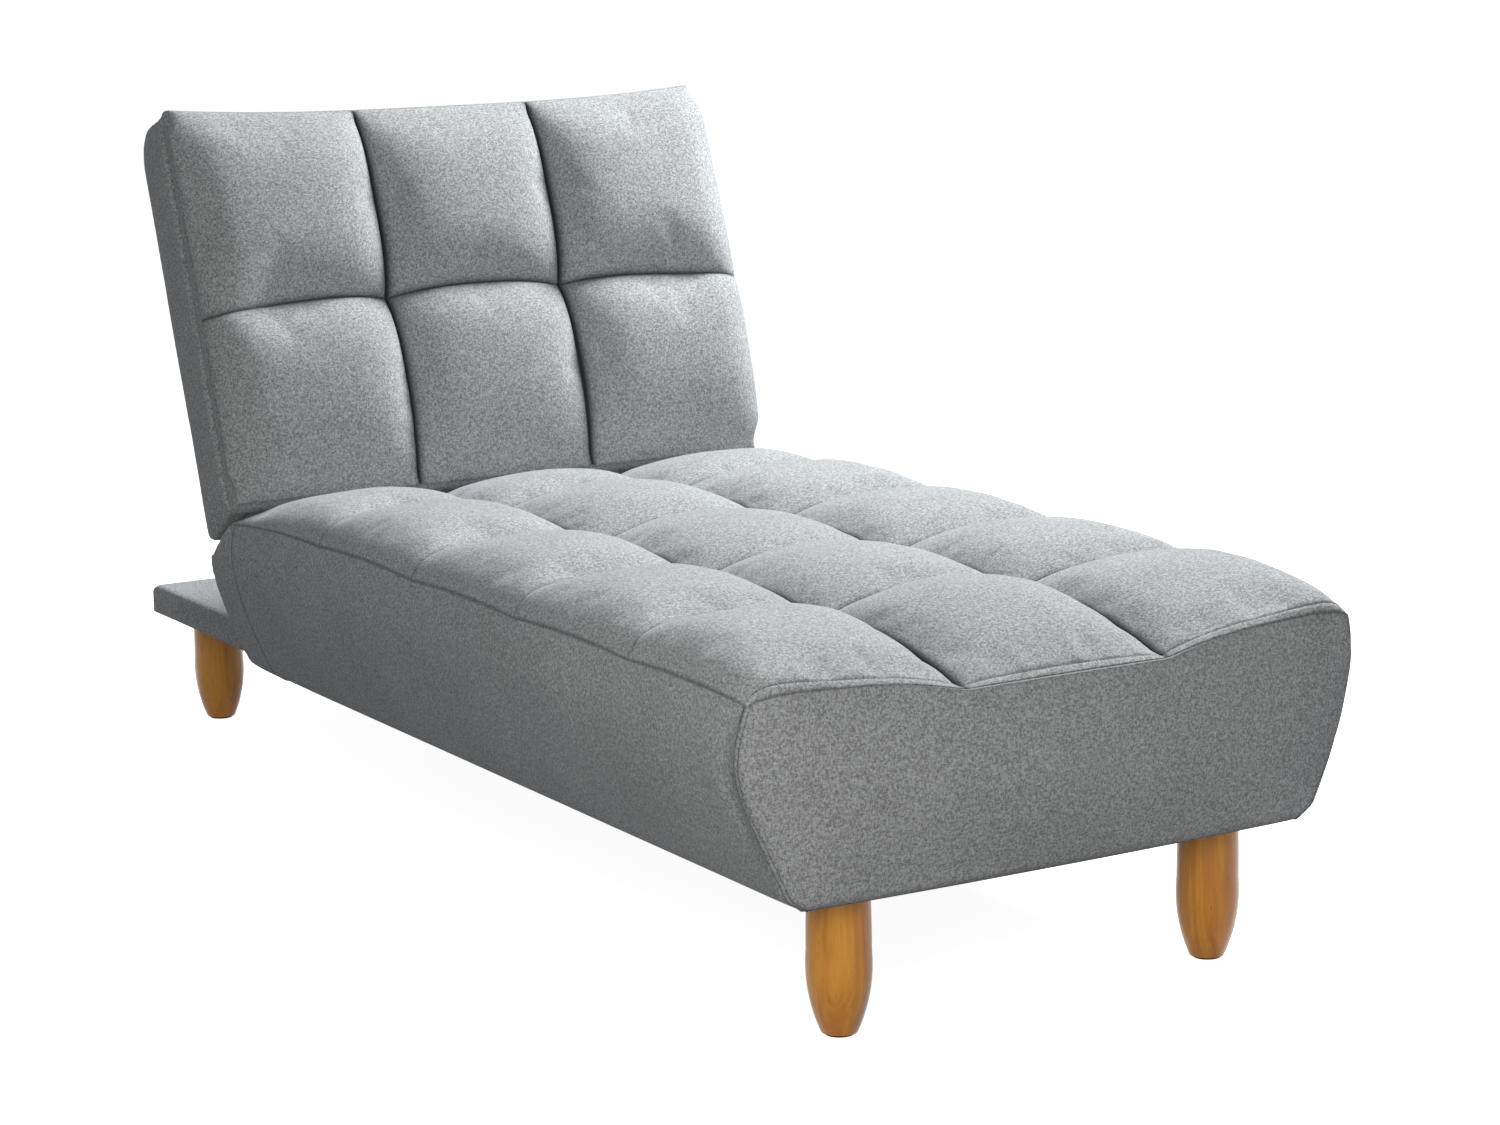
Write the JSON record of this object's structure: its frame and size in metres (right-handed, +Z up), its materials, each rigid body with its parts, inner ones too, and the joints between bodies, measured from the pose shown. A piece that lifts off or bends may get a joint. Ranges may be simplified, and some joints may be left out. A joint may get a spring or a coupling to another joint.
{
  "type": "recamier",
  "caption": "tufted grey fabric recamier on turned wooden legs, with a ratchet backrest that folds down level with the seat and a low upholstered platform behind it",
  "frame": {"origin": "on the floor, under the middle of the whole piece", "axes": "+Z up; +Y from the foot end to the backrest; +X to the right of someone who stands at the foot end and looks along +Y"},
  "size_m": [0.7146, 1.656, 0.796],
  "materials": {
    "upholstery": "matte",
    "underside_cloth": "matte",
    "foam": "matte",
    "felt": "matte",
    "webbing": "matte",
    "lacquered_beech": "satin",
    "frame_timber": "matte",
    "plywood": "matte",
    "zinc_steel": "satin",
    "spring_steel": "satin"
  },
  "bodies": {
    "base": {"hinge_pin_left": "zinc_steel", "hinge_pin_right": "zinc_steel", "hinge_plate_left": "zinc_steel", "hinge_plate_right": "zinc_steel", "hinge_plate_screws": "zinc_steel", "hinge_ratchet_left": "zinc_steel", "hinge_ratchet_right": "zinc_steel", "leg_bolts": "zinc_steel", "leg_front_left": "lacquered_beech", "leg_front_right": "lacquered_beech", "leg_glides": "felt", "leg_plates": "zinc_steel", "leg_rear_left": "lacquered_beech", "leg_rear_right": "lacquered_beech", "platform_cover": "upholstery", "platform_deck": "plywood", "platform_rear_rail": "frame_timber", "platform_side_rail_left": "frame_timber", "platform_side_rail_right": "frame_timber", "seat_corner_blocks": "frame_timber", "seat_cross_rails": "frame_timber", "seat_dust_cover": "underside_cloth", "seat_felt": "felt", "seat_foam": "foam", "seat_front_panel": "upholstery", "seat_front_rail": "frame_timber", "seat_hinge_blocks": "frame_timber", "seat_pad": "upholstery", "seat_rear_panel": "upholstery", "seat_rear_rail": "frame_timber", "seat_side_panel_left": "upholstery", "seat_side_panel_right": "upholstery", "seat_side_rail_left": "frame_timber", "seat_side_rail_right": "frame_timber", "seat_spring_clips": "spring_steel", "seat_springs": "spring_steel"},
    "backrest": {"back_bottom_panel": "upholstery", "back_bottom_rail": "frame_timber", "back_foam": "foam", "back_hinge_posts": "frame_timber", "back_pad": "upholstery", "back_rear_panel": "upholstery", "back_side_panel_left": "upholstery", "back_side_panel_right": "upholstery", "back_stile_left": "frame_timber", "back_stile_right": "frame_timber", "back_top_panel": "upholstery", "back_top_rail": "frame_timber", "back_webbing": "webbing", "hinge_arm_left": "zinc_steel", "hinge_arm_right": "zinc_steel", "hinge_arm_screws": "zinc_steel", "hinge_pawl_pins": "zinc_steel"},
    "pawl_left": {"hinge_pawl_left": "zinc_steel"},
    "pawl_right": {"hinge_pawl_right": "zinc_steel"}
  },
  "joints": [
    {"name": "backrest_recline", "type": "hinge", "parent": "base", "child": "backrest", "pos_m": [0, 0.372, 0.265], "axis": [-1, 0, 0], "range_deg": [-4, 70.44]},
    {"name": "pawl_left_lift", "type": "hinge", "parent": "backrest", "child": "pawl_left", "pos_m": [-0.2332, 0.35196, 0.30417], "axis": [-1, 0, 0], "range_deg": [0, 8]},
    {"name": "pawl_right_lift", "type": "hinge", "parent": "backrest", "child": "pawl_right", "pos_m": [0.2332, 0.35196, 0.30417], "axis": [-1, 0, 0], "range_deg": [0, 8]}
  ]
}
